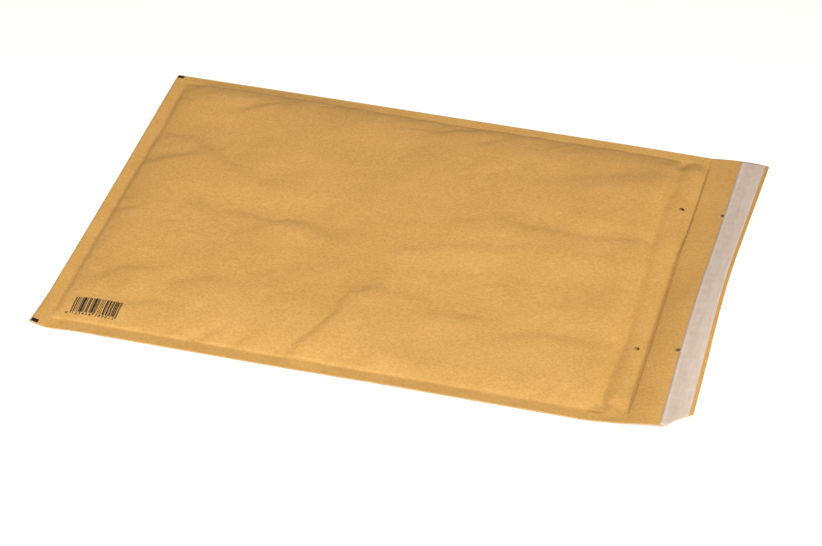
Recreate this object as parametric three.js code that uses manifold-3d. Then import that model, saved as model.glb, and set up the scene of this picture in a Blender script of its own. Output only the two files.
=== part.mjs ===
// Padded envelope: a kraft paper mailer lined with bubble film, empty, open and lying flat.
//
// Units are millimetres. X runs from the folded end to the mouth and on over the open flap, Y runs
// across the envelope and Z is up. The origin is under the middle of the whole piece, on the surface
// that it lies on.

import * as THREE from 'three';
import { mergeVertices } from 'three/addons/utils/BufferGeometryUtils.js';
import Module from 'manifold-3d';

const wasm = await Module();
wasm.setup();

// ---------------------------------------------------------------- driving dimensions

const BODY_LENGTH = 480;
const BODY_WIDTH = 370;
const FLAP_LENGTH = 50;
const BODY_HEIGHT = 12;

const PAPER = 0.3;
const BUBBLE_FILM = 2.8;
const GAP = 0.3;

// The side seams are welded and the folded end is creased flat over this width.
const RIM_WIDTH = 12;
const RIM_EDGE_LIFT = 1.6;
const RIM_EDGE_THICKNESS = 0.8;
const RIM_INNER_THICKNESS = 3;

// From the rims the front panel swells to its full height over this distance.
const SWELL_LENGTH = 80;
const SWELL_POWER = 2.2;

// The front panel's free edge at the mouth, and where the panel starts to come down to it.
const MOUTH_HEIGHT = 8.8;
const MOUTH_DROP_LENGTH = 22;
const LINER_SETBACK = 22.5;

// The open flap stands up from its crease. Its free edge is arched: highest near the middle, lower at
// the right-hand end (-Y) and lowest at the left-hand end (+Y).
const FLAP_FOLD_SETBACK = 6.6;
const FLAP_MIDDLE_HEIGHT = 16.6;
const FLAP_RIGHT_HEIGHT = 10.5;
const FLAP_LEFT_HEIGHT = 4.2;
const FLAP_CREST_Y = -30;

// The flap's right-hand outer corner is trimmed off on a slant.
const TRIM_LENGTH = 18;
const TRIM_WIDTH = 11;

const RELEASE_WIDTH = 20.3;
const RELEASE_THICKNESS = 0.3;
const RELEASE_MARGIN = 2.7;
const ADHESIVE_WIDTH = 15;
const ADHESIVE_THICKNESS = 0.3;
const STRIP_END_MARGIN = 0.5;
const ADHESIVE_END_MARGIN = 3;

// Four punched holes take two paper fasteners. Each flap hole meets a front hole when the flap is shut.
const HOLE_DIAMETER = 4;
const HOLE_SPACING = 190;
const HOLE_SETBACK = 9.8;
const HOLE_SIDES = 20;

// ---------------------------------------------------------------- worked-out sizes

const OVERALL_LENGTH = BODY_LENGTH + FLAP_LENGTH;
const HALF_WIDTH = BODY_WIDTH / 2;
const FOLD_X = BODY_LENGTH + FLAP_FOLD_SETBACK;
const LINER_END_X = BODY_LENGTH - LINER_SETBACK;
const FRONT_HOLE_X = BODY_LENGTH - HOLE_SETBACK;
const FLAP_HOLE_X = 2 * FOLD_X - FRONT_HOLE_X;
const RELEASE_END_X = OVERALL_LENGTH - RELEASE_MARGIN;
const RELEASE_START_X = RELEASE_END_X - RELEASE_WIDTH;
const ADHESIVE_START_X = (RELEASE_START_X + RELEASE_END_X - ADHESIVE_WIDTH) / 2;
const POCKET_START_X = RIM_WIDTH;
const POCKET_HALF_WIDTH = HALF_WIDTH - RIM_WIDTH;

// ---------------------------------------------------------------- the shape of the sheet

function clamp01(t) {
  return Math.min(1, Math.max(0, t));
}

// How far the rims are lifted off the surface, from 1 at an outer edge to 0 well inside.
function rimLift(x, y) {
  const reach = 2.2 * RIM_WIDTH;
  const side = clamp01((Math.abs(y) - HALF_WIDTH + reach) / reach) ** 2;
  const end = clamp01((reach - x) / reach) ** 2;
  return 1 - (1 - side) * (1 - end);
}

// The thickness of the lined envelope at a distance in from one edge.
function swell(distance) {
  if (distance < RIM_WIDTH) {
    return (RIM_INNER_THICKNESS - RIM_EDGE_THICKNESS) * (distance / RIM_WIDTH);
  }
  const t = clamp01((distance - RIM_WIDTH) / SWELL_LENGTH);
  const rise = BODY_HEIGHT - RIM_INNER_THICKNESS;
  return RIM_INNER_THICKNESS - RIM_EDGE_THICKNESS + rise * (1 - (1 - t) ** SWELL_POWER);
}

// The thickness at a point: the smaller of the two swells, rounded where they meet.
function bodyThickness(x, y) {
  const fromSide = swell(HALF_WIDTH - Math.abs(y)) + 0.001;
  const fromEnd = swell(x) + 0.001;
  const both = (fromSide ** -4 + fromEnd ** -4) ** -0.25;
  const drop = clamp01((x - BODY_LENGTH + MOUTH_DROP_LENGTH) / MOUTH_DROP_LENGTH);
  const scale = 1 - (1 - MOUTH_HEIGHT / BODY_HEIGHT) * drop;
  return RIM_EDGE_THICKNESS + both * scale;
}

// How high the flap's free edge stands above its crease.
function flapEdgeHeight(y) {
  const end = y < FLAP_CREST_Y ? FLAP_RIGHT_HEIGHT : FLAP_LEFT_HEIGHT;
  const reach = y < FLAP_CREST_Y ? -HALF_WIDTH - FLAP_CREST_Y : HALF_WIDTH - FLAP_CREST_Y;
  const t = (y - FLAP_CREST_Y) / reach;
  return FLAP_MIDDLE_HEIGHT - (FLAP_MIDDLE_HEIGHT - end) * t * t;
}

function flapRise(x, y) {
  return flapEdgeHeight(y) * clamp01((x - FOLD_X) / (OVERALL_LENGTH - FOLD_X));
}

// The flap keeps its length in the paper, so where it stands up its free edge comes in.
function leaned(geometry) {
  const flap = OVERALL_LENGTH - FOLD_X;
  const position = geometry.attributes.position;
  for (let i = 0; i < position.count; i += 1) {
    const past = position.getX(i) - FOLD_X;
    if (past > 0) {
      const share = Math.sqrt(1 - (flapEdgeHeight(position.getY(i)) / flap) ** 2);
      position.setX(i, FOLD_X + past * share);
    }
  }
  return geometry;
}

function underside(x, y) {
  return RIM_EDGE_LIFT * rimLift(x, y) + flapRise(x, y);
}

function backInside(x, y) {
  return underside(x, y) + PAPER;
}

function frontOutside(x, y) {
  return underside(x, y) + bodyThickness(Math.min(x, BODY_LENGTH), y);
}

function frontInside(x, y) {
  return frontOutside(x, y) - PAPER;
}

// The bubble film is squeezed thin where the two panels come together at the rims.
function filmThickness(x, y) {
  const room = (frontInside(x, y) - backInside(x, y) - 3 * GAP) / 2;
  return Math.min(BUBBLE_FILM, room);
}

// ---------------------------------------------------------------- building blocks

// A list of positions from start to end that includes the given breaks, no more than step apart.
function stations(start, end, breaks, step) {
  const stops = [start, ...breaks.filter((b) => b > start && b < end), end];
  const places = [start];
  for (let i = 1; i < stops.length; i += 1) {
    const span = stops[i] - stops[i - 1];
    const count = Math.max(1, Math.ceil(span / step));
    for (let k = 1; k <= count; k += 1) {
      places.push(stops[i - 1] + (span * k) / count);
    }
  }
  return places;
}

function mirrored(places) {
  return [...places.map((p) => -p).reverse(), ...places.filter((p) => p > 0)];
}

// A subdivided box whose lower and upper faces are laid on two height functions.
function moulded(xs, ys, bottom, top) {
  const across = xs.length - 1;
  const along = ys.length - 1;
  const box = new THREE.BoxGeometry(1, 1, 1, across, along, 1);
  const position = box.attributes.position;
  for (let i = 0; i < position.count; i += 1) {
    const x = xs[Math.round((position.getX(i) + 0.5) * across)];
    const y = ys[Math.round((position.getY(i) + 0.5) * along)];
    const height = position.getZ(i) > 0 ? top : bottom;
    position.setXYZ(i, x, y, height(x, y));
  }
  return box;
}

function toSolid(geometry) {
  const bare = geometry.clone();
  bare.deleteAttribute('normal');
  bare.deleteAttribute('uv');
  const merged = mergeVertices(bare, 1e-5);
  return new wasm.Manifold(
    new wasm.Mesh({
      numProp: 3,
      vertProperties: new Float32Array(merged.attributes.position.array),
      triVerts: new Uint32Array(merged.index.array),
    }),
  );
}

function toGeometry(solid) {
  const mesh = solid.getMesh();
  const geometry = new THREE.BufferGeometry();
  geometry.setAttribute('position', new THREE.BufferAttribute(mesh.vertProperties, 3));
  geometry.setIndex(new THREE.BufferAttribute(mesh.triVerts, 1));
  return geometry;
}

function punch(x, y, from, to) {
  const cylinder = new THREE.CylinderGeometry(HOLE_DIAMETER / 2, HOLE_DIAMETER / 2, to - from, HOLE_SIDES);
  cylinder.rotateX(Math.PI / 2);
  cylinder.translate(x, y, (from + to) / 2);
  return toSolid(cylinder);
}

// ---------------------------------------------------------------- stations along and across

const rimReach = 2.2 * RIM_WIDTH;
const swellEnd = RIM_WIDTH + SWELL_LENGTH;
const swellStops = [
  RIM_WIDTH / 2,
  RIM_WIDTH,
  (RIM_WIDTH + rimReach) / 2,
  rimReach,
  rimReach + 10,
  rimReach + 22,
  rimReach + 36,
  rimReach + 50,
  swellEnd,
];
const bodyXs = stations(
  0,
  BODY_LENGTH,
  [...swellStops, LINER_END_X, BODY_LENGTH - MOUTH_DROP_LENGTH].sort((a, b) => a - b),
  200,
);
const pastMouthX = BODY_LENGTH + FLAP_FOLD_SETBACK / 2;
const flapXs = stations(
  BODY_LENGTH,
  OVERALL_LENGTH,
  [pastMouthX, FOLD_X, ADHESIVE_START_X, ADHESIVE_START_X + ADHESIVE_WIDTH],
  9,
);
const allXs = [...bodyXs, ...flapXs.slice(1)];
const allYs = mirrored(
  stations(0, HALF_WIDTH, swellStops.map((s) => HALF_WIDTH - s).reverse(), 100),
);
const pocketXs = [...bodyXs.filter((x) => x >= POCKET_START_X), pastMouthX];
const pocketYs = allYs.filter((y) => Math.abs(y) <= POCKET_HALF_WIDTH + 1e-6);

// ---------------------------------------------------------------- the kraft cover

// One sheet, folded at the closed end. The front panel stops at the mouth and the back panel goes on
// as the flap. Inside is the pocket, open at the mouth.
const above = BODY_HEIGHT + 30;
const hull = toSolid(moulded(allXs, allYs, underside, frontOutside));
const pocket = toSolid(moulded(pocketXs, pocketYs, backInside, frontInside));
const overFlap = toSolid(
  moulded(
    allXs.filter((x) => x >= BODY_LENGTH).map((x) => (x === OVERALL_LENGTH ? x + 1 : x)),
    allYs.map((y) => (Math.abs(y) === HALF_WIDTH ? y + Math.sign(y) : y)),
    backInside,
    () => above,
  ),
);
const corner = new THREE.Shape([
  new THREE.Vector2(OVERALL_LENGTH - TRIM_LENGTH, -HALF_WIDTH),
  new THREE.Vector2(OVERALL_LENGTH - TRIM_LENGTH, -HALF_WIDTH - 5),
  new THREE.Vector2(OVERALL_LENGTH + 5, -HALF_WIDTH - 5),
  new THREE.Vector2(OVERALL_LENGTH + 5, -HALF_WIDTH + TRIM_WIDTH * (1 + 5 / TRIM_LENGTH)),
]);
const trim = toSolid(new THREE.ExtrudeGeometry(corner, { depth: above, bevelEnabled: false }));
let cover = hull.subtract(overFlap).subtract(pocket).subtract(trim);
for (const side of [-1, 1]) {
  const y = (side * HOLE_SPACING) / 2;
  const insideFront = (backInside(FRONT_HOLE_X, y) + frontInside(FRONT_HOLE_X, y)) / 2;
  cover = cover.subtract(punch(FRONT_HOLE_X, y, insideFront, above));
  cover = cover.subtract(punch(FLAP_HOLE_X, y, -5, above));
}

// ---------------------------------------------------------------- the bubble film

// Each film starts just inside the folded end's rim and stops short of the mouth.
const filmXs = pocketXs
  .filter((x) => x <= LINER_END_X)
  .map((x) => (x === POCKET_START_X ? x + GAP : x));
const filmYs = pocketYs.map((y) => (Math.abs(y) > POCKET_HALF_WIDTH - 1e-6 ? y - Math.sign(y) * GAP : y));

const filmOnBack = moulded(
  filmXs,
  filmYs,
  (x, y) => backInside(x, y) + GAP,
  (x, y) => backInside(x, y) + GAP + filmThickness(x, y),
);
const filmOnFront = moulded(
  filmXs,
  filmYs,
  (x, y) => frontInside(x, y) - GAP - filmThickness(x, y),
  (x, y) => frontInside(x, y) - GAP,
);

// ---------------------------------------------------------------- the flap's strip

const stripXs = flapXs.filter((x) => x > RELEASE_START_X + 1 && x < RELEASE_END_X - 1);
const releaseXs = [RELEASE_START_X, ...stripXs, RELEASE_END_X];
const adhesiveXs = stripXs.filter(
  (x) => x >= ADHESIVE_START_X - 1e-6 && x <= ADHESIVE_START_X + ADHESIVE_WIDTH + 1e-6,
);
const releaseYs = allYs.map((y) => (Math.abs(y) === HALF_WIDTH ? y - Math.sign(y) * STRIP_END_MARGIN : y));
const adhesiveYs = allYs.map((y) =>
  Math.abs(y) === HALF_WIDTH ? y - Math.sign(y) * ADHESIVE_END_MARGIN : y,
);
const adhesiveFrom = (x, y) => backInside(x, y) + GAP;
const adhesiveTo = (x, y) => adhesiveFrom(x, y) + ADHESIVE_THICKNESS;
const releaseFrom = (x, y) => adhesiveTo(x, y) + GAP;
const releaseTo = (x, y) => releaseFrom(x, y) + RELEASE_THICKNESS;
const adhesive = toSolid(moulded(adhesiveXs, adhesiveYs, adhesiveFrom, adhesiveTo)).subtract(trim);
const release = toSolid(moulded(releaseXs, releaseYs, releaseFrom, releaseTo)).subtract(trim);

// ---------------------------------------------------------------- the scene graph

function finish(color, roughness) {
  return new THREE.MeshStandardMaterial({ color, roughness, metalness: 0 });
}

function piece(name, geometry, material) {
  const mesh = new THREE.Mesh(geometry, material);
  mesh.name = name;
  return mesh;
}

const envelope = new THREE.Group();
envelope.add(
  piece('kraft_cover', leaned(toGeometry(cover)), finish('#dba760', 0.85)),
  piece('bubble_liner_back', filmOnBack, finish('#e4e6e4', 0.35)),
  piece('bubble_liner_front', filmOnFront, finish('#e4e6e4', 0.35)),
  piece('flap_adhesive', leaned(toGeometry(adhesive)), finish('#d9c38c', 0.4)),
  piece('release_liner', leaned(toGeometry(release)), finish('#cfc0b3', 0.5)),
);
const extent = new THREE.Box3().setFromObject(envelope);
envelope.position.x = -(extent.min.x + extent.max.x) / 2;

export default envelope;
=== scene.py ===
import math
import random

import bmesh
import bpy
import numpy as np
from mathutils import Matrix, Vector, noise
from mathutils.bvhtree import BVHTree


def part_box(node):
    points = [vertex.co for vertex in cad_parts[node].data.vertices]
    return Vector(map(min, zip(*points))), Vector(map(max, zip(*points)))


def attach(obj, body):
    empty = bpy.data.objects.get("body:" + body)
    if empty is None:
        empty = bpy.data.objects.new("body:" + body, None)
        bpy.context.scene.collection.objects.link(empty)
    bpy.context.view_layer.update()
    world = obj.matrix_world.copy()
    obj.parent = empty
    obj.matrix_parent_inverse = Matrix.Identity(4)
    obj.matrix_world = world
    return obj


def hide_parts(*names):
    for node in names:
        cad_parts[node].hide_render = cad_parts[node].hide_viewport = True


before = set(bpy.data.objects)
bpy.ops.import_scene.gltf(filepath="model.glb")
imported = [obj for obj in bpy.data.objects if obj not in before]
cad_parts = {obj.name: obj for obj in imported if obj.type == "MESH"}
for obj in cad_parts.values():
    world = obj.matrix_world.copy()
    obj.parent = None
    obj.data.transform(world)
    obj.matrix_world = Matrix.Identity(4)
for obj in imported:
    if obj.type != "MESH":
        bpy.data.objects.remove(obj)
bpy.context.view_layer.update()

# ---- Camera ----------------------------------------------------------------------------------
# A long lens from the envelope's right-hand side, looking down on it at about 37 degrees and a
# little towards the folded end.
camera_data = bpy.data.cameras.new("studio_camera")
camera_data.lens = 128.3
camera_data.sensor_width = 36
camera_data.clip_end = 20
camera = bpy.data.objects.new("studio_camera", camera_data)
bpy.context.collection.objects.link(camera)
camera.location = (0.48046, -1.86621, 1.44075)
camera.rotation_euler = [math.radians(a) for a in (52.6444, -0.4970, 14.8549)]
bpy.context.scene.camera = camera

# ---- Kraft cover -----------------------------------------------------------------------------
# One sheet of brown kraft paper, machine glazed on its outside, folded at the closed end and welded
# down both sides on its bubble film, which holds the panels apart. The front panel stops at the
# mouth, and the back panel goes on as the flap.
MM = 0.001
cover_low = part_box("kraft_cover")[0]
FOLD_END = cover_low[0]
RIGHT_EDGE = cover_low[1]

# Lengths in millimetres along the paper: u from the folded end, v from the right-hand edge. RIM is
# the weld's width, LINER_END is where the film stops, and MOUTH_FROM is where the padded panels
# start to come together. The paper is drawn 0.3 mm thick, about twice the real one.
BODY_LENGTH = 480.0
BODY_WIDTH = 370.0
FLAP = 50.0
FLAP_END = BODY_LENGTH + FLAP
PAPER = 0.3
RIM = 12.0
LINER_END = 457.5
MOUTH_FROM = 440.0


# A smooth step from 0 to 1, and a smooth hump of height 1.
def ease(t):
    t = np.clip(t, 0.0, 1.0)
    return t * t * (3 - 2 * t)


def bell(t):
    return np.exp(-t * t)


# A smooth curve across the envelope, past heights that are given at a few places.
def smooth_curve(v, places, heights):
    return np.polyval(np.polyfit(np.array(places) / BODY_WIDTH, heights, 5), v / BODY_WIDTH)


# How high the back panel stands off the table. The padding lifts the welded edges over a band at
# each side, more at the right, where the corner of the folded end has also curled up. Just inside
# the left weld the padding pulls the panel up a little.
EDGE_BAND = 48
FOLD_BAND = 26
FOLD_LIFT = 0.8


def edge_lift(u, v):
    right = 2.1 + ease((u - 190) / 120) - 1.7 * bell((u - 14) / 14)
    right = right + 2.9 * bell(u / 9) + 0.6 * bell((u - 464) / 9)
    left = 0.2 + 0.5 * ease(u / 160) - 0.4 * ease((u - 400) / 80)
    to_side = np.minimum(v, BODY_WIDTH - v)
    side = np.clip((EDGE_BAND - to_side) / EDGE_BAND, 0, 1) ** 1.6
    end = np.clip((FOLD_BAND - u) / FOLD_BAND, 0, 1) ** 2
    pull = (2.4 - 1.6 * ease((u - 120) / 130)) * ease(u / 50) * ease((470 - u) / 60)
    pull = pull * ease(to_side / 14) * ease((100 - to_side) / 80) * (v > BODY_WIDTH / 2)
    return side * np.where(v < BODY_WIDTH / 2, right, left) + (1 - side) * end * FOLD_LIFT + pull


# The paper past the film rises to the mouth, and the open flap leans up from there with its free
# edge arched.
def mouth_lift(v):
    places = (0, 45, 90, 140, 185, 240, 280, 340, 370)
    lift = smooth_curve(v, places, (3.6, 4.4, 4.8, 4.9, 4.9, 4.9, 4.2, 2.0, 0.1))
    return lift + 0.8 * bell((v - 240) / 30)


def flap_edge(v):
    places = (0, 43, 91, 139, 185, 231, 276, 323, 350, 370)
    return smooth_curve(v, places, (12.6, 14.4, 16.1, 16.7, 16.7, 15.9, 13.4, 8.7, 4.9, 1.4))


# How far the flap bulges up (or sags) between the mouth and its free edge.
def flap_bow(v):
    places = (0, 45, 90, 140, 185, 235, 280, 330, 370)
    return smooth_curve(v, places, (1.0, 2.0, 2.7, 2.2, 1.2, -0.2, -0.7, 0.5, 1.5))


# The front panel's cut edge runs a little askew, except at its left. The back panel is creased
# along it, where the flap has been bent back.
RISE_FROM = 446
SKEW = 1.5
SKEW_FROM = 285
SKEW_FADE = 80
CREASE_DEPTH = 1.3
CREASE_WIDTH = 0.8


def under_height(u, v):
    t = np.clip((u - BODY_LENGTH) / FLAP, 0, 1)
    before = np.clip((u - RISE_FROM) / (BODY_LENGTH - RISE_FROM), 0, 1) ** 2
    rise = mouth_lift(v) * before * (1 - t) + flap_edge(v) * t + flap_bow(v) * 4 * t * (1 - t)
    mouth_at = BODY_LENGTH + 0.3 - SKEW * ease((SKEW_FROM - v) / SKEW_FADE)
    depth = CREASE_DEPTH * np.clip(mouth_lift(v) / 1.6, 0, 1)
    return edge_lift(u, v) * (1 - t) + rise - depth * bell((u - mouth_at) / CREASE_WIDTH)


# Where a place on the paper comes to along the envelope: a raised flap reaches less far, and the
# free edge and the fold are both drawn in slightly at their middles.
EDGE_HOLLOW = 2.2
FOLD_HOLLOW = 0.7


def flap_reach(u, v):
    t = np.clip((u - BODY_LENGTH) / FLAP, 0, 1)
    slope = (flap_edge(v) - mouth_lift(v)) / FLAP
    turn = 4 * flap_bow(v) / FLAP
    squares = slope**2 * t + 2 * slope * turn * (t - t * t) + turn**2 * (t - 2 * t * t + 4 / 3 * t**3)
    bow = np.sin(math.pi * v / BODY_WIDTH)
    drawn_in = u - FLAP / 2 * squares - EDGE_HOLLOW * bow**4 * t * t
    return drawn_in + (FOLD_HOLLOW + FOLD_HOLLOW * bow) * bell(u / RIM)


# The lined envelope's thickness: the step up onto the film's own edge just inside the weld, a round
# shoulder, and a slow rise to the middle. The right-hand side is flatter than the left one, and
# gets rounder towards the mouth.
FILM_STEP = 1.4
SHOULDER = 8.4
MIDDLE_RISE = 2.6
MIDDLE_SPAN = 130


def filling(u, v):
    right = ease((BODY_WIDTH / 2 + 70 - v) / 140)
    along = ease((u - 230) / 180)
    past_side = np.clip(np.minimum(v, BODY_WIDTH - v) - RIM, 0, None)
    past_end = np.clip(u - RIM, 0, None)
    step_width = right * (2.4 + 3.0 * along) + (1 - right) * 5.0
    step_height = right * (0.7 - 0.35 * along) + (1 - right) * FILM_STEP
    step = step_height * ease(past_side / step_width) + 0.6 * right * ease(past_side / 20)
    step = np.minimum(step, FILM_STEP * ease(past_end / 5.5))
    roundness = right * (23 + 9 * along) + (1 - right) * 17
    end_round = 1 - 0.7 * np.exp(-past_end / 14) - 0.3 * np.exp(-past_end / 50)
    shoulder = (SHOULDER - 1.8 * right) * (1 - np.exp(-past_side / roundness)) * end_round
    middle = 1 - (1 - np.clip(past_side / MIDDLE_SPAN, 0, 1)) ** 2
    middle = middle * (1 - (1 - np.clip(past_end / MIDDLE_SPAN, 0, 1)) ** 2)
    weld = 0.25 * np.clip(np.minimum(past_side, past_end) / RIM + 1, 0, 1)
    return weld + step + shoulder + MIDDLE_RISE * middle


# How far the front panel falls short of a square cut, from nothing where the padding ends.
def askew(u, v):
    along = (u - MOUTH_FROM) / (BODY_LENGTH - MOUTH_FROM)
    return SKEW * ease(along) * ease((SKEW_FROM - v) / SKEW_FADE)


# How far the mouth stands open.
def mouth_gap(v):
    return 1.9 * ease((np.minimum(v, BODY_WIDTH - v) - RIM) / 20) + 1.3 * bell((v - 240) / 36)


# Creases in the front panel: where each runs as (u, v), its height, and the width of its sharp side.
# The deepest one, near the mouth, is the film's cut edge showing through.
creases = [
    ([(26, 280), (51, 280), (78, 260), (122, 230)], -1.7, 12),
    ([(81, 186), (111, 179), (146, 178), (176, 181), (200, 171)], -1.4, 9),
    ([(128, 142), (160, 166)], 0.9, 8),
    ([(77, 324), (106, 348)], -1.1, 4.5),
    ([(141, 327), (159, 347)], -0.7, 3.5),
    ([(236, 329), (271, 349)], -1.2, 4),
    ([(289, 326), (305, 341)], -0.6, 3.5),
    ([(340, 334), (355, 348)], -0.7, 3.5),
    ([(445, 346), (468, 348)], -0.6, 4),
    ([(15, 235), (31, 241), (52, 249)], -1.1, 5.5),
    ([(20, 163), (31, 165)], -0.7, 3.5),
    ([(35, 74), (48, 87), (72, 91)], -1.1, 6.5),
    ([(98, 77), (127, 92), (143, 83)], -1.0, 7),
    ([(42, 150), (68, 154)], -0.5, 6),
    ([(65, 41), (88, 50), (104, 46)], -0.7, 4.5),
    ([(121, 42), (132, 15)], -1.1, 4.5),
    ([(137, 16), (150, 31)], -0.6, 3.5),
    ([(166, 15), (168, 28)], -0.5, 3.5),
    ([(217, 25), (226, 39), (236, 63), (240, 91), (254, 99)], 1.8, 8),
    ([(205, 20), (215, 37), (226, 66)], -0.8, 6),
    ([(272, 110), (288, 93), (315, 97), (354, 97)], -1.1, 9),
    ([(258, 134), (322, 145)], -0.5, 6),
    ([(267, 155), (393, 190)], 0.9, 10),
    ([(348, 222), (398, 220), (453, 227)], -0.9, 6),
    ([(304, 216), (335, 231)], -0.5, 6),
    ([(362, 80), (396, 91), (442, 89)], -1.3, 9),
    ([(333, 100), (378, 112)], -0.5, 6),
    ([(359, 294), (448, 329)], -1.0, 9),
    ([(382, 277), (438, 300)], 0.5, 8),
    ([(457, 352), (457, 307), (453, 272), (455, 215), (456, 165), (458, 100), (455, 16)], -3.3, 2.6),
    ([(470, 345), (470, 30)], 1.5, 7),
    ([(455, 11), (467, 15), (476, 9)], 1.1, 3.4),
    ([(468, 3), (480, 8)], -0.9, 3),
]

# The weld puckers the paper, so short creases run in from the side seams and the folded end.
puckers = random.Random(7)
for k in range(13):
    for seam_v, inwards in ((RIM, 1), (BODY_WIDTH - RIM, -1)):
        u0 = 30 + 33 * k + puckers.uniform(-11, 11)
        reach = puckers.uniform(7, 20)
        slant = inwards * puckers.uniform(0.2, 1.4) * reach
        ends = sorted([(u0, seam_v + inwards * 2), (u0 + slant, seam_v + inwards * (2 + reach))])
        creases.append((ends, puckers.uniform(-0.55, -0.2), puckers.uniform(2.2, 3.6)))
for k in range(7):
    v0 = 40 + 47 * k + puckers.uniform(-15, 15)
    reach = puckers.uniform(7, 16)
    ends = [(RIM + 2, v0), (RIM + 2 + reach, v0 + puckers.uniform(-0.6, 0.9) * reach)]
    creases.append((ends, puckers.uniform(-0.5, -0.2), puckers.uniform(2.2, 3.6)))


# A crease is sharp on one flank and soft on the other.
def crease_height(u, v):
    total = np.zeros_like(u)
    for path, height, sharp in creases:
        nearest = np.full_like(u, np.inf)
        side = np.zeros_like(u)
        for (u0, v0), (u1, v1) in zip(path, path[1:]):
            length = math.hypot(u1 - u0, v1 - v0)
            along = np.clip(((u - u0) * (u1 - u0) + (v - v0) * (v1 - v0)) / length**2, 0, 1)
            distance = np.hypot(u - u0 - along * (u1 - u0), v - v0 - along * (v1 - v0)) + 1e-6
            across = ((v - v0) * (u1 - u0) - (u - u0) * (v1 - v0)) / length
            closer = distance < nearest
            side = np.where(closer, across / distance, side)
            nearest = np.where(closer, distance, nearest)
        soft_flank = 0.5 - 0.5 * np.sign(height) * side
        total += height * bell(nearest / (sharp * (1 + 1.6 * soft_flank)))
    return total


# Gentle uneven waves in the paper, about as long as the size given.
def ripples(u, v, size, seed):
    def one(a, b):
        return noise.noise(Vector((a / size, b / size, seed)))

    return np.vectorize(one, otypes=[float])(u, v)


# The front panel's outside: the back panel, the padding, the creases and the waves together, and
# never less than the two papers of the weld.
TWO_PAPERS = 2 * PAPER


def front_height(u, v):
    u = np.minimum(u, BODY_LENGTH)
    to_side = np.minimum(v, BODY_WIDTH - v)
    to_edge = np.minimum(to_side, u)
    filled = filling(u, v)
    to_mouth = ease((u - MOUTH_FROM) / (BODY_LENGTH - MOUTH_FROM))
    open_by = mouth_gap(v) + 0.1 * filled * (1 - to_mouth)
    thickness = TWO_PAPERS + filled * (1 - to_mouth) + to_mouth * open_by
    inside = ease((to_edge - RIM) / 22)
    soft = 1.5 * ripples(u, v, 88, 3.1) + 0.8 * ripples(u, v, 40, 7.7) + 0.22 * ripples(u, v, 15, 1.9)
    weld = 0.12 * ripples(u, v, 9, 4.4) * ease(to_edge / 6)
    free = 1 - 0.6 * to_mouth
    shaped = inside * free * soft + ease(to_edge / 10) * crease_height(u, v)
    return under_height(u, v) + np.maximum(thickness + shaped + weld, TWO_PAPERS)


# The sheet is one grid. A walk along its section gives one side of the grid: in over the flap and the
# back panel, round the inner fold, out under the front panel, back over it, round the fold and out
# underneath. The rows across the envelope give the other side.
FOLD_START = 0.3
FOLD_NOSE = -0.2
ROW = 2.0
outside = [BODY_LENGTH - 2 * k for k in range(240)]
underneath = [FOLD_START] + [4.0 * k for k in range(1, 121)]
flap_stops = [BODY_LENGTH + step for step in (0.7, 1.4, 2.2, 3.4)]
flap_stops += [BODY_LENGTH + 2.5 * k for k in range(2, 21)]
inside_stops = [RIM + 8, 40, 80, 130, 190, 250, 310, 370, 400, 420, 432, 442]
inside_stops += [450, 457, 463, 468, 472, 475, 477, 478.4, 479.2]
walk = [("back_inside", u) for u in reversed(flap_stops)]
walk += [("back_inside", BODY_LENGTH)]
walk += [("back_inside", u) for u in reversed(inside_stops)]
walk += [("inner_fold", RIM)]
walk += [("front_inside", u) for u in inside_stops]
walk += [("front_inside", BODY_LENGTH)]
walk += [("front", u) for u in outside]
walk += [("front", FOLD_START), ("nose", FOLD_NOSE)]
walk += [("under", u) for u in underneath + flap_stops]
walk += [("back_inside", FLAP_END)]
rows = sorted([ROW * k for k in range(186)] + [RIM + 1, BODY_WIDTH - RIM - 1])
kinds = [kind for kind, _ in walk]

sheet = bmesh.new()
bmesh.ops.create_grid(sheet, x_segments=len(walk) - 1, y_segments=len(rows) - 1, size=0.5)
cells = {}
for vert in sheet.verts:
    i = round((vert.co.x + 0.5) * (len(walk) - 1))
    j = round((vert.co.y + 0.5) * (len(rows) - 1))
    cells[i, j] = vert

LEAST_GAP = 0.25
us, vs = np.meshgrid(np.array([u for _, u in walk], float), np.array(rows, float), indexing="ij")
under = under_height(us, vs)
front = front_height(np.maximum(us, 0.0), vs)
back_inside = under + PAPER
is_rim = (vs < RIM + 0.5) | (vs > BODY_WIDTH - RIM - 0.5) | (us < RIM + 0.5)
front_inside = np.where(is_rim, back_inside, np.maximum(front - PAPER, back_inside + LEAST_GAP))
level = {
    "back_inside": back_inside,
    "inner_fold": back_inside,
    "front_inside": front_inside,
    "front": front,
    "nose": (under + front) / 2,
    "under": under,
}
xs = flap_reach(us, vs)
is_front = np.array([kind == "front" for kind in kinds])[:, None]
is_front_inside = np.array([kind == "front_inside" for kind in kinds])[:, None] & ~is_rim
xs = xs - np.where(is_front | is_front_inside, askew(us, vs), 0)
for (i, j), vert in cells.items():
    vert.co = (
        FOLD_END + xs[i, j] * MM,
        RIGHT_EDGE + vs[i, j] * MM,
        level[kinds[i]][i, j] * MM,
    )

# Where the panels are welded there is no pocket, so the sheet's inside faces are taken out there.
welded = {j for j, v in enumerate(rows) if v <= RIM or v >= BODY_WIDTH - RIM}
gone = []
for i in range(len(walk) - 1):
    pair = {kinds[i], kinds[i + 1]}
    if not pair <= {"back_inside", "inner_fold", "front_inside"}:
        continue
    if max(walk[i][1], walk[i + 1][1]) > BODY_LENGTH:
        continue
    for j in range(len(rows) - 1):
        if j in welded and j + 1 in welded:
            corners = {cells[i, j], cells[i + 1, j], cells[i + 1, j + 1], cells[i, j + 1]}
            gone += [f for f in cells[i, j].link_faces if set(f.verts) == corners]
bmesh.ops.delete(sheet, geom=gone, context="FACES")

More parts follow.
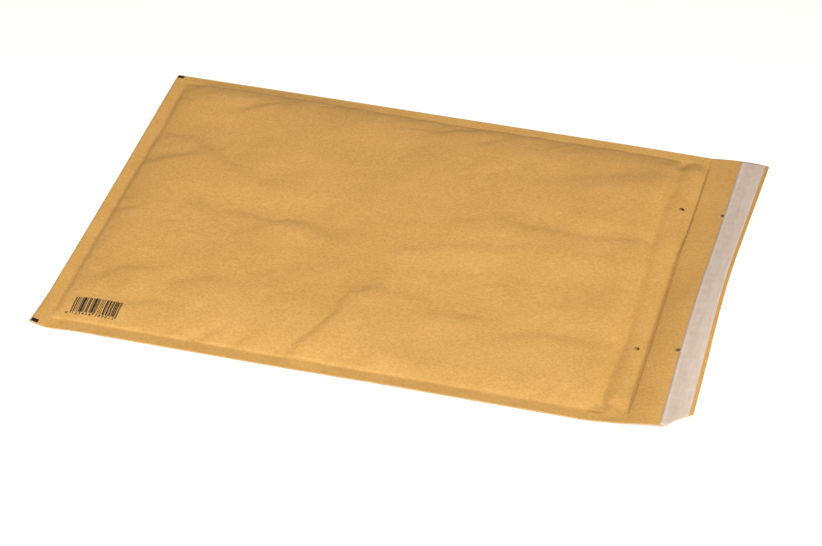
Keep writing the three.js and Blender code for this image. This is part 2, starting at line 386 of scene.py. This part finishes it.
# The cut edges down the two sides: the welded body's, the flap's, the fold's end, and the corner
# where the front panel stops at the mouth.
index_of = {}
for i, (kind, u) in enumerate(walk):
    index_of.setdefault((kind, u), i)
for j in (0, len(rows) - 1):
    lower = [index_of["under", u] for u in underneath + flap_stops]
    body = [k for k in lower if walk[k][1] <= BODY_LENGTH]
    for a, b in zip(body, body[1:]):
        above = [i for i, (kind, u) in enumerate(walk) if kind == "front" and walk[a][1] <= u <= walk[b][1]]
        sheet.faces.new([cells[a, j], cells[b, j]] + [cells[i, j] for i in above])
    flap = [k for k in lower if walk[k][1] >= BODY_LENGTH]
    for a, b in zip(flap, flap[1:]):
        over_a = cells[index_of["back_inside", walk[a][1]], j]
        over_b = cells[index_of["back_inside", walk[b][1]], j]
        sheet.faces.new([cells[a, j], cells[b, j], over_b, over_a])
    nose = index_of["nose", FOLD_NOSE]
    sheet.faces.new([cells[nose - 1, j], cells[nose, j], cells[nose + 1, j]])
    sheet.faces.new([cells[index_of[kind, BODY_LENGTH], j] for kind in ("under", "back_inside", "front")])
bmesh.ops.remove_doubles(sheet, verts=sheet.verts, dist=1e-6)
loose = [v for v in sheet.verts if not v.link_faces]
bmesh.ops.delete(sheet, geom=loose, context="VERTS")
bmesh.ops.recalc_face_normals(sheet, faces=sheet.faces)
for face in sheet.faces:
    face.smooth = True


# A finished mesh becomes an object at the origin, with its place in its mesh.
def new_piece(name, mesh):
    data = bpy.data.meshes.new(name)
    mesh.to_mesh(data)
    mesh.free()
    piece = bpy.data.objects.new(name, data)
    bpy.context.collection.objects.link(piece)
    return piece


cover = new_piece("kraft_sheet", sheet)


# Takes a tool's shape out of a piece, and keeps the result as the piece's mesh.
def cut_away(piece, tool):
    cutter = new_piece("cutter", tool)
    modifier = piece.modifiers.new("cut", "BOOLEAN")
    modifier.operation = "DIFFERENCE"
    modifier.solver = "EXACT"
    modifier.object = cutter
    done = bpy.data.meshes.new_from_object(piece.evaluated_get(bpy.context.evaluated_depsgraph_get()))
    piece.modifiers.clear()
    piece.data = done
    bpy.data.objects.remove(cutter)


# Punched holes for two paper fasteners, through the front panel and through the flap. The ones in
# the front panel stop just above the back panel.
HOLE = 2.2
HOLE_FLOOR = 0.7
HOLE_SPACING = 190
FRONT_HOLE = 470.8
FLAP_HOLE = 504.5
BELOW, ABOVE = -5, 30


def hole_punch(tools, u, v, low, high):
    place = Matrix.Translation((FOLD_END + u * MM, RIGHT_EDGE + v * MM, (low + high) / 2 * MM))
    bmesh.ops.create_cone(
        tools,
        cap_ends=True,
        segments=40,
        radius1=HOLE * MM,
        radius2=HOLE * MM,
        depth=(high - low) * MM,
        matrix=place,
    )


punches = bmesh.new()
for v in (BODY_WIDTH / 2 - HOLE_SPACING / 2, BODY_WIDTH / 2 + HOLE_SPACING / 2):
    punch_to = float(under_height(np.array(FRONT_HOLE), v)) + HOLE_FLOOR
    hole_punch(punches, FRONT_HOLE, v, punch_to, ABOVE)
    hole_punch(punches, float(flap_reach(np.array(FLAP_HOLE), v)), v, BELOW, ABOVE)
cut_away(cover, punches)

# The flap's right-hand outer corner is trimmed off on a slightly curved slant, and the strips on the
# flap are trimmed with it.
TRIM_FROM, TRIM_TO = 512.5, 535.5
TRIM_START = 2.0
TRIM_SLANT = 18.0


def corner_trim():
    blade = bmesh.new()
    bmesh.ops.create_cube(blade, size=1)
    for vert in blade.verts:
        x = TRIM_FROM if vert.co.x < 0 else TRIM_TO
        y = -10.0 if vert.co.y < 0 else TRIM_START
        vert.co = (FOLD_END + x * MM, RIGHT_EDGE + y * MM, 0.04 if vert.co.z > 0 else -0.01)
    bmesh.ops.subdivide_edges(blade, edges=blade.edges, cuts=5, use_grid_fill=True)
    for vert in blade.verts:
        along = ((vert.co.x - FOLD_END) / MM - TRIM_FROM) / (TRIM_TO - TRIM_FROM)
        if vert.co.y > RIGHT_EDGE:
            vert.co.y += TRIM_SLANT * along**0.85 * MM
    return blade


cut_away(cover, corner_trim())
SHARP_FOLD = 50
cover.data.set_sharp_from_angle(angle=math.radians(SHARP_FOLD))


# Kraft paper: unbleached softwood pulp. The eye gets an even tan with darker and paler flecks, long
# fibres along the web, a slight cloudiness and a low sheen from the glazed side.
def linear(hex_colour):
    parts = [int(hex_colour[k:k + 2], 16) / 255 for k in (1, 3, 5)]
    return [c / 12.92 if c <= 0.04045 else ((c + 0.055) / 1.055) ** 2.4 for c in parts] + [1.0]


def add_node(tree, kind, settings=None, values=None, links=None):
    node = tree.nodes.new(kind)
    for key, value in (settings or {}).items():
        setattr(node, key, value)
    for key, value in (values or {}).items():
        node.inputs[key].default_value = value
    for key, (source, output) in (links or {}).items():
        tree.links.new(source.outputs[output], node.inputs[key])
    return node


def new_material(name):
    material = bpy.data.materials.new(name)
    material.use_nodes = True
    material.node_tree.nodes.clear()
    return material, material.node_tree


kraft, tree = new_material("kraft_paper")
place = add_node(tree, "ShaderNodeTexCoord")
web = add_node(
    tree,
    "ShaderNodeMapping",
    values={"Scale": (0.85, 1.0, 1.0)},
    links={"Vector": (place, "Object")},
)
# The cloudiness of the pulp is some centimetres across. Single fibres are 1 to 3 mm long but far too
# thin to show, so both the fibres and the flecks are drawn as coarse as bundles of them.
CLOUD = 45 * MM
FIBRE = 1.9 * MM
FLECK = 1.1 * MM
clouds = add_node(
    tree,
    "ShaderNodeTexNoise",
    values={"Scale": 1 / CLOUD, "Detail": 3.0, "Roughness": 0.55},
    links={"Vector": (place, "Object")},
)
fibres = add_node(
    tree,
    "ShaderNodeTexNoise",
    values={"Scale": 1 / FIBRE, "Detail": 4.0, "Roughness": 0.65},
    links={"Vector": (web, "Vector")},
)
flecks = add_node(
    tree,
    "ShaderNodeTexNoise",
    values={"Scale": 1 / FLECK, "Detail": 2.0, "Roughness": 0.6},
    links={"Vector": (place, "Object")},
)
cloud_ramp = add_node(tree, "ShaderNodeValToRGB", links={"Fac": (clouds, "Fac")})
cloud_ramp.color_ramp.elements[0].position = 0.3
cloud_ramp.color_ramp.elements[0].color = linear("#c69b57")
cloud_ramp.color_ramp.elements[1].position = 0.7
cloud_ramp.color_ramp.elements[1].color = linear("#cea25f")
fibre_ramp = add_node(tree, "ShaderNodeValToRGB", links={"Fac": (fibres, "Fac")})
fibre_ramp.color_ramp.elements[0].position = 0.35
fibre_ramp.color_ramp.elements[0].color = linear("#eae0cd")
fibre_ramp.color_ramp.elements[1].position = 0.7
fibre_ramp.color_ramp.elements[1].color = linear("#ffffff")
fleck_ramp = add_node(tree, "ShaderNodeValToRGB", links={"Fac": (flecks, "Fac")})
fleck_ramp.color_ramp.elements[0].position = 0.26
fleck_ramp.color_ramp.elements[0].color = linear("#d3bd98")
fleck_ramp.color_ramp.elements[1].position = 0.36
fleck_ramp.color_ramp.elements[1].color = linear("#ffffff")
fibre_tint = add_node(
    tree,
    "ShaderNodeMix",
    settings={"data_type": "RGBA", "blend_type": "MULTIPLY"},
    values={0: 1.0},
    links={6: (cloud_ramp, "Color"), 7: (fibre_ramp, "Color")},
)
fleck_tint = add_node(
    tree,
    "ShaderNodeMix",
    settings={"data_type": "RGBA", "blend_type": "MULTIPLY"},
    values={0: 0.6},
    links={6: (fibre_tint, 2), 7: (fleck_ramp, "Color")},
)
grain_sum = add_node(
    tree,
    "ShaderNodeMath",
    settings={"operation": "ADD"},
    links={0: (fibres, "Fac"), 1: (flecks, "Fac")},
)
grain = add_node(
    tree,
    "ShaderNodeBump",
    values={"Strength": 0.3, "Distance": 0.06 * MM},
    links={"Height": (grain_sum, "Value")},
)
paper = add_node(
    tree,
    "ShaderNodeBsdfPrincipled",
    values={"Roughness": 0.62, "IOR": 1.5, "Specular IOR Level": 0.35},
    links={"Base Color": (fleck_tint, 2), "Normal": (grain, "Normal")},
)
add_node(tree, "ShaderNodeOutputMaterial", links={"Surface": (paper, "BSDF")})
cover.data.materials.clear()
cover.data.materials.append(kraft)
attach(cover, "root")
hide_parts("kraft_cover")

# ---- Printing --------------------------------------------------------------------------------
# Black flexographic ink on the outside of the front panel: a bar code with its number near the
# folded end, and a cut mark at each corner of the fold, where the web of envelopes was cut.
INK = 0.05
cover_tree = BVHTree.FromObject(cover, bpy.context.evaluated_depsgraph_get())


# Drops a flat mesh onto the paper's outside, with the ink's thickness above it.
def lay_on_cover(mesh):
    for vert in mesh.verts:
        hit = cover_tree.ray_cast(Vector((vert.co.x, vert.co.y, 0.05)), Vector((0, 0, -1)))[0]
        vert.co.z = (hit.z if hit else vert.co.z) + INK * MM


# A flat oblong from one corner to the other, with enough cuts to follow the paper.
def patch(mesh, u0, v0, u1, v1, cuts_u, cuts_v):
    place = Matrix.Translation((FOLD_END + (u0 + u1) / 2 * MM, RIGHT_EDGE + (v0 + v1) / 2 * MM, 0.0))
    scale = Matrix.Diagonal(((u1 - u0) * MM, (v1 - v0) * MM, 1, 1))
    bmesh.ops.create_grid(mesh, x_segments=cuts_u, y_segments=cuts_v, size=0.5, matrix=place @ scale)


# Water-based ink soaks into the paper: near black, dull and slightly grainy. The grain is drawn
# coarser than the real one, which is too fine to show.
INK_GRAIN = 0.5 * MM
ink, tree = new_material("black_ink")
place = add_node(tree, "ShaderNodeTexCoord")
grainy = add_node(
    tree,
    "ShaderNodeTexNoise",
    values={"Scale": 1 / INK_GRAIN, "Detail": 2.0},
    links={"Vector": (place, "Object")},
)
ink_ramp = add_node(tree, "ShaderNodeValToRGB", links={"Fac": (grainy, "Fac")})
ink_ramp.color_ramp.elements[0].position = 0.3
ink_ramp.color_ramp.elements[0].color = linear("#121115")
ink_ramp.color_ramp.elements[1].position = 0.8
ink_ramp.color_ramp.elements[1].color = linear("#2c241f")
ink_shader = add_node(
    tree,
    "ShaderNodeBsdfPrincipled",
    values={"Roughness": 0.55, "Specular IOR Level": 0.3},
    links={"Base Color": (ink_ramp, "Color")},
)
add_node(tree, "ShaderNodeOutputMaterial", links={"Surface": (ink_shader, "BSDF")})

# A plain number in the usual 13-digit pattern of bars, 95 modules wide. The second half's bars are
# the first half's turned light for dark.
NUMBER = "0123456789012"
LEFT_ODD = ["0001101", "0011001", "0010011", "0111101", "0100011"]
LEFT_ODD += ["0110001", "0101111", "0111011", "0110111", "0001011"]
code = "101"
for digit in NUMBER[1:7]:
    code += LEFT_ODD[int(digit)]
code += "01010"
for digit in NUMBER[7:13]:
    code += "".join("1" if m == "0" else "0" for m in LEFT_ODD[int(digit)])
code += "101"
BARS_FROM, BARS_TO = 26.3, 65.3
BARS_NEAR, BARS_FAR = 22.2, 38.8
GUARD_DROP = 2.0
INK_SPREAD = 0.07
module = (BARS_TO - BARS_FROM) / len(code)
bars = bmesh.new()
start = 0
while start < len(code):
    stop = start
    while stop < len(code) and code[stop] == code[start]:
        stop += 1
    if code[start] == "1":
        is_guard = start < 3 or 45 <= start < 50 or start >= 92
        bar_foot = BARS_NEAR - (GUARD_DROP if is_guard else 0)
        bar_from = BARS_FROM + start * module - INK_SPREAD
        bar_to = BARS_FROM + stop * module + INK_SPREAD
        patch(bars, bar_from, bar_foot, bar_to, BARS_FAR, 1, 12)
    start = stop
lay_on_cover(bars)
bar_code = new_piece("bar_code", bars)

# The number under the bars, one digit ahead of them and six under each half. A capital is 0.7 of
# the type's size.
digits = bmesh.new()
DIGIT_HEIGHT = 2.6
DIGIT_DROP = 0.3
places = [BARS_FROM - DIGIT_HEIGHT]
places += [BARS_FROM + (3 + 7 * (k + 0.5)) * module for k in range(6)]
places += [BARS_FROM + (50 + 7 * (k + 0.5)) * module for k in range(6)]
foot_v = BARS_NEAR - DIGIT_DROP - DIGIT_HEIGHT
for digit, place_u in zip(NUMBER, places):
    curve = bpy.data.curves.new("digit", "FONT")
    curve.body = digit
    curve.size = DIGIT_HEIGHT / 0.7 * MM
    curve.align_x = "CENTER"
    curve.resolution_u = 3
    curve.offset = 0.1 * MM
    text = bpy.data.objects.new("digit", curve)
    bpy.context.collection.objects.link(text)
    flat = bpy.data.meshes.new_from_object(text.evaluated_get(bpy.context.evaluated_depsgraph_get()))
    flat.transform(Matrix.Translation((FOLD_END + place_u * MM, RIGHT_EDGE + foot_v * MM, 0)))
    digits.from_mesh(flat)
    bpy.data.objects.remove(text)
bmesh.ops.remove_doubles(digits, verts=digits.verts, dist=1e-6)
lay_on_cover(digits)
number = new_piece("printed_number", digits)

# The cut marks, set in from the fold's rounded edge.
MARK_FROM, MARK_TO = 1.5, 6.8
MARK_INSET = 0.3
marks = bmesh.new()
patch(marks, MARK_FROM, MARK_INSET, MARK_TO, 4.9, 6, 6)
patch(marks, MARK_FROM, BODY_WIDTH - 4.4, MARK_TO, BODY_WIDTH - MARK_INSET, 6, 6)
lay_on_cover(marks)
cut_marks = new_piece("cut_marks", marks)
for piece in (bar_code, number, cut_marks):
    piece.data.materials.append(ink)
    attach(piece, "root")

# ---- Bubble film -----------------------------------------------------------------------------
# Two sheets of polyethylene bubble film, one on each panel, welded into the side seams. The film
# is clear and soft, with round bubbles 10 mm apart in staggered rows that face into the pocket.
# Each film's flat side keeps a little clear of the paper, less where there is little room, and its
# bubbles are squashed to half of what is left between the panels.
BUBBLE = 10.0
BUBBLE_WIDTH = 9.2
BUBBLE_HEIGHT = 2.3
FILM_CLEARANCE = 0.9


def film(name, node, facing):
    mesh = bmesh.new()
    u0, u1 = RIM + 2.0, LINER_END - 4
    v0, v1 = RIM + 1.5, BODY_WIDTH - RIM - 1.5
    patch(mesh, u0, v0, u1, v1, 110, 86)
    row_gap = BUBBLE * math.sqrt(3) / 2
    row = 0
    v = v0 + 7.0
    bubbles = []
    while v < v1 - 5:
        u = u1 - 6.5 - (BUBBLE / 2 if row % 2 else 0)
        while u > u0 + 5:
            bubbles.append((u, v))
            u -= BUBBLE
        row += 1
        v += row_gap
    dome = bmesh.new()
    bmesh.ops.create_uvsphere(dome, u_segments=12, v_segments=6, radius=0.5)
    bmesh.ops.bisect_plane(
        dome,
        geom=dome.verts[:] + dome.edges[:] + dome.faces[:],
        plane_co=(0, 0, 0),
        plane_no=(0, 0, -1),
        clear_outer=True,
    )
    one = bpy.data.meshes.new("dome")
    dome.to_mesh(one)
    dome.free()
    heights = {}
    for u, v in bubbles:
        before = len(mesh.verts)
        mesh.from_mesh(one)
        mesh.verts.ensure_lookup_table()
        for vert in mesh.verts[before:]:
            heights[vert] = vert.co.z * 2
            x = u + vert.co.x * BUBBLE_WIDTH
            y = v + vert.co.y * BUBBLE_WIDTH
            vert.co = (FOLD_END + x * MM, RIGHT_EDGE + y * MM, 0)
    bpy.data.meshes.remove(one)
    mesh.verts.ensure_lookup_table()
    uu = np.array([(vert.co.x - FOLD_END) / MM for vert in mesh.verts])
    vv = np.array([(vert.co.y - RIGHT_EDGE) / MM for vert in mesh.verts])
    low = under_height(uu, vv) + PAPER
    high = np.maximum(front_height(uu, vv) - PAPER, low + LEAST_GAP)
    clear = np.minimum(FILM_CLEARANCE, 0.22 * (high - low))
    room = np.clip((high - low) / 2 - clear - 0.1, 0.02, BUBBLE_HEIGHT)
    for k, vert in enumerate(mesh.verts):
        up = heights.get(vert, 0.0) * room[k]
        vert.co.z = (low[k] + 0.12 + up) * MM if facing > 0 else (high[k] - clear[k] - up) * MM
    bmesh.ops.recalc_face_normals(mesh, faces=mesh.faces)
    for face in mesh.faces:
        face.smooth = True
    piece = new_piece(name, mesh)
    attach(piece, "root")
    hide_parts(node)
    return piece


film_back = film("bubble_film_back", "bubble_liner_back", 1)
film_front = film("bubble_film_front", "bubble_liner_front", -1)

# Blown low-density polyethylene: see-through, with a soft gloss and a slight milky haze.
HAZE = 6 * MM
clear_film, tree = new_material("polyethylene_film")
place = add_node(tree, "ShaderNodeTexCoord")
haze = add_node(
    tree,
    "ShaderNodeTexNoise",
    values={"Scale": 1 / HAZE, "Detail": 2.0},
    links={"Vector": (place, "Object")},
)
haze_ramp = add_node(tree, "ShaderNodeValToRGB", links={"Fac": (haze, "Fac")})
haze_ramp.color_ramp.elements[0].color = linear("#d8d2c4")
haze_ramp.color_ramp.elements[1].color = linear("#efece4")
film_shader = add_node(
    tree,
    "ShaderNodeBsdfPrincipled",
    values={"Roughness": 0.28, "IOR": 1.51, "Alpha": 0.45},
    links={"Base Color": (haze_ramp, "Color")},
)
add_node(tree, "ShaderNodeOutputMaterial", links={"Surface": (film_shader, "BSDF")})
for piece in (film_back, film_front):
    piece.data.materials.append(clear_film)

# ---- Adhesive --------------------------------------------------------------------------------
# A coat of yellowish hot-melt adhesive, 15 mm wide, along the flap under its release strip. The
# strip hides all of it until it is peeled off.
ADHESIVE_FROM, ADHESIVE_TO = 509.3, 524.3
ADHESIVE_INSET = 3
ADHESIVE_LIFT = 0.02
STRIP_THICKNESS = 0.08


# A thin strip laid on the flap. Its UV runs from 0 at its inner edge to 1 at its outer edge.
def flap_strip(name, u0, u1, v0, v1, lift, thick):
    mesh = bmesh.new()
    patch(mesh, u0, v0, u1, v1, 10, 180)
    uu = np.array([(vert.co.x - FOLD_END) / MM for vert in mesh.verts])
    vv = np.array([(vert.co.y - RIGHT_EDGE) / MM for vert in mesh.verts])
    heights = under_height(uu, vv) + PAPER + lift
    reach = flap_reach(uu, vv)
    across = mesh.loops.layers.uv.new("across")
    for face in mesh.faces:
        for loop in face.loops:
            place = ((loop.vert.co.x - FOLD_END) / MM - u0) / (u1 - u0)
            loop[across].uv = (place, (loop.vert.co.y - RIGHT_EDGE) / MM / BODY_WIDTH)
    for vert, x, z in zip(mesh.verts, reach, heights):
        vert.co.x = FOLD_END + x * MM
        vert.co.z = z * MM
    mesh.normal_update()
    top = bmesh.ops.extrude_face_region(mesh, geom=mesh.faces[:])
    for part in top["geom"]:
        if isinstance(part, bmesh.types.BMVert):
            part.co.z += thick * MM
    bmesh.ops.recalc_face_normals(mesh, faces=mesh.faces)
    for face in mesh.faces:
        face.smooth = True
    piece = new_piece(name, mesh)
    cut_away(piece, corner_trim())
    return piece


adhesive = flap_strip(
    "hot_melt_coat",
    ADHESIVE_FROM,
    ADHESIVE_TO,
    ADHESIVE_INSET,
    BODY_WIDTH - ADHESIVE_INSET,
    ADHESIVE_LIFT,
    STRIP_THICKNESS,
)

# Hot melt sets smooth, glossy and straw yellow.
hot_melt, tree = new_material("hot_melt_adhesive")
melt = add_node(
    tree,
    "ShaderNodeBsdfPrincipled",
    values={"Base Color": linear("#d8c38e"), "Roughness": 0.3, "IOR": 1.5},
)
add_node(tree, "ShaderNodeOutputMaterial", links={"Surface": (melt, "BSDF")})
adhesive.data.materials.clear()
adhesive.data.materials.append(hot_melt)
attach(adhesive, "root")
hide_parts("flap_adhesive")

# ---- Release strip ---------------------------------------------------------------------------
# A 20 mm strip of silicone-coated glassine over the adhesive, the full width of the flap. It is
# peeled off to close the envelope.
RELEASE_FROM, RELEASE_TO = 506.6, 526.9
RELEASE_RIGHT, RELEASE_LEFT = 0.2, BODY_WIDTH - 0.3
RELEASE_LIFT = 0.14
release = flap_strip(
    "release_strip",
    RELEASE_FROM,
    RELEASE_TO,
    RELEASE_RIGHT,
    RELEASE_LEFT,
    RELEASE_LIFT,
    STRIP_THICKNESS,
)

# Coated glassine: smooth and faintly pinkish grey, with streaks along the strip and a soft mottle.
# Its middle, over the adhesive, looks a touch darker than its edges.
STREAK = 2.5 * MM
MOTTLE = 7 * MM
glassine, tree = new_material("coated_glassine")
place = add_node(tree, "ShaderNodeTexCoord")
along = add_node(
    tree,
    "ShaderNodeMapping",
    values={"Scale": (1.0, 0.12, 1.0)},
    links={"Vector": (place, "Object")},
)
streaks = add_node(
    tree,
    "ShaderNodeTexNoise",
    values={"Scale": 1 / STREAK, "Detail": 3.0, "Roughness": 0.6},
    links={"Vector": (along, "Vector")},
)
mottle = add_node(
    tree,
    "ShaderNodeTexNoise",
    values={"Scale": 1 / MOTTLE, "Detail": 3.0, "Roughness": 0.6},
    links={"Vector": (place, "Object")},
)
both = add_node(
    tree,
    "ShaderNodeMix",
    settings={"data_type": "FLOAT"},
    values={0: 0.5},
    links={2: (streaks, "Fac"), 3: (mottle, "Fac")},
)
strip_ramp = add_node(tree, "ShaderNodeValToRGB", links={"Fac": (both, 0)})
strip_ramp.color_ramp.elements[0].position = 0.35
strip_ramp.color_ramp.elements[0].color = linear("#c5b0a0")
strip_ramp.color_ramp.elements[1].position = 0.62
strip_ramp.color_ramp.elements[1].color = linear("#d0c0b3")
across = add_node(tree, "ShaderNodeUVMap", settings={"uv_map": "across"})
inner_to_outer = add_node(tree, "ShaderNodeSeparateXYZ", links={"Vector": (across, "UV")})
band_ramp = add_node(tree, "ShaderNodeValToRGB", links={"Fac": (inner_to_outer, "X")})
band_ramp.color_ramp.elements[0].color = linear("#ffffff")
band_ramp.color_ramp.elements[1].color = linear("#f9f9f8")
for position, tint in ((0.11, "#fdfdfd"), (0.17, "#f3f3f2"), (0.5, "#f1f0ef"), (0.62, "#f7f7f6")):
    band_ramp.color_ramp.elements.new(position).color = linear(tint)
banded = add_node(
    tree,
    "ShaderNodeMix",
    settings={"data_type": "RGBA", "blend_type": "MULTIPLY"},
    values={0: 1.0},
    links={6: (strip_ramp, "Color"), 7: (band_ramp, "Color")},
)
strip_shader = add_node(
    tree,
    "ShaderNodeBsdfPrincipled",
    values={"Roughness": 0.42, "IOR": 1.45, "Specular IOR Level": 0.35},
    links={"Base Color": (banded, 2)},
)
add_node(tree, "ShaderNodeOutputMaterial", links={"Surface": (strip_shader, "BSDF")})
release.data.materials.clear()
release.data.materials.append(glassine)
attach(release, "root")
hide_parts("release_liner")

# ---- Studio ----------------------------------------------------------------------------------
# A plain white floor that fades into a pale backdrop, under a large soft key light from the right.
# A small light on the left, a wide one overhead and the world's pale warm light fill the shadows.
ground = bmesh.new()
bmesh.ops.create_circle(ground, cap_ends=True, segments=96, radius=2.5)
floor = new_piece("floor", ground)
floor.location.z = -0.2 * MM
white, tree = new_material("white_floor")
matt = add_node(
    tree,
    "ShaderNodeBsdfPrincipled",
    values={"Base Color": linear("#f7f7f6"), "Roughness": 0.9, "Specular IOR Level": 0.1},
)
place = add_node(tree, "ShaderNodeTexCoord")
outwards = add_node(
    tree,
    "ShaderNodeVectorMath",
    settings={"operation": "LENGTH"},
    links={"Vector": (place, "Object")},
)
fade = add_node(
    tree,
    "ShaderNodeMapRange",
    settings={"interpolation_type": "SMOOTHSTEP"},
    values={"From Min": 0.6, "From Max": 1.15},
    links={"Value": (outwards, "Value")},
)
pale = add_node(tree, "ShaderNodeEmission", values={"Color": linear("#fbfbfa"), "Strength": 1.0})
faded = add_node(
    tree,
    "ShaderNodeMixShader",
    links={0: (fade, "Result"), 1: (matt, "BSDF"), 2: (pale, "Emission")},
)
add_node(tree, "ShaderNodeOutputMaterial", links={"Surface": (faded, "Shader")})
floor.data.materials.append(white)


def soft_light(name, place, aim, size, power):
    data = bpy.data.lights.new(name, "AREA")
    data.shape = "DISK"
    data.size = size
    data.energy = power
    lamp = bpy.data.objects.new(name, data)
    bpy.context.collection.objects.link(lamp)
    lamp.location = place
    lamp.visible_camera = False
    lamp.rotation_euler = (Vector(aim) - Vector(place)).to_track_quat("-Z", "Y").to_euler()
    return lamp


soft_light("key_light", (1.58, -3.38, 3.02), (0, 0, 0), 1.2, 338)
soft_light("left_light", (-0.95, -0.8, 0.75), (-0.1, 0, 0), 0.6, 2.6)
soft_light("top_light", (0.0, 0.2, 3.2), (0, 0, 0), 2.0, 10)
world = bpy.data.worlds.new("studio")
world.use_nodes = True
bpy.context.scene.world = world
tree = world.node_tree
tree.nodes.clear()
fill = add_node(tree, "ShaderNodeBackground", values={"Color": linear("#fff0dc"), "Strength": 0.2})
backdrop = add_node(tree, "ShaderNodeBackground", values={"Color": linear("#fbfbfa"), "Strength": 1.0})
ray = add_node(tree, "ShaderNodeLightPath")
seen = add_node(
    tree,
    "ShaderNodeMixShader",
    links={0: (ray, "Is Camera Ray"), 1: (fill, "Background"), 2: (backdrop, "Background")},
)
add_node(tree, "ShaderNodeOutputWorld", links={"Surface": (seen, "Shader")})
bpy.context.scene.view_settings.view_transform = "Standard"
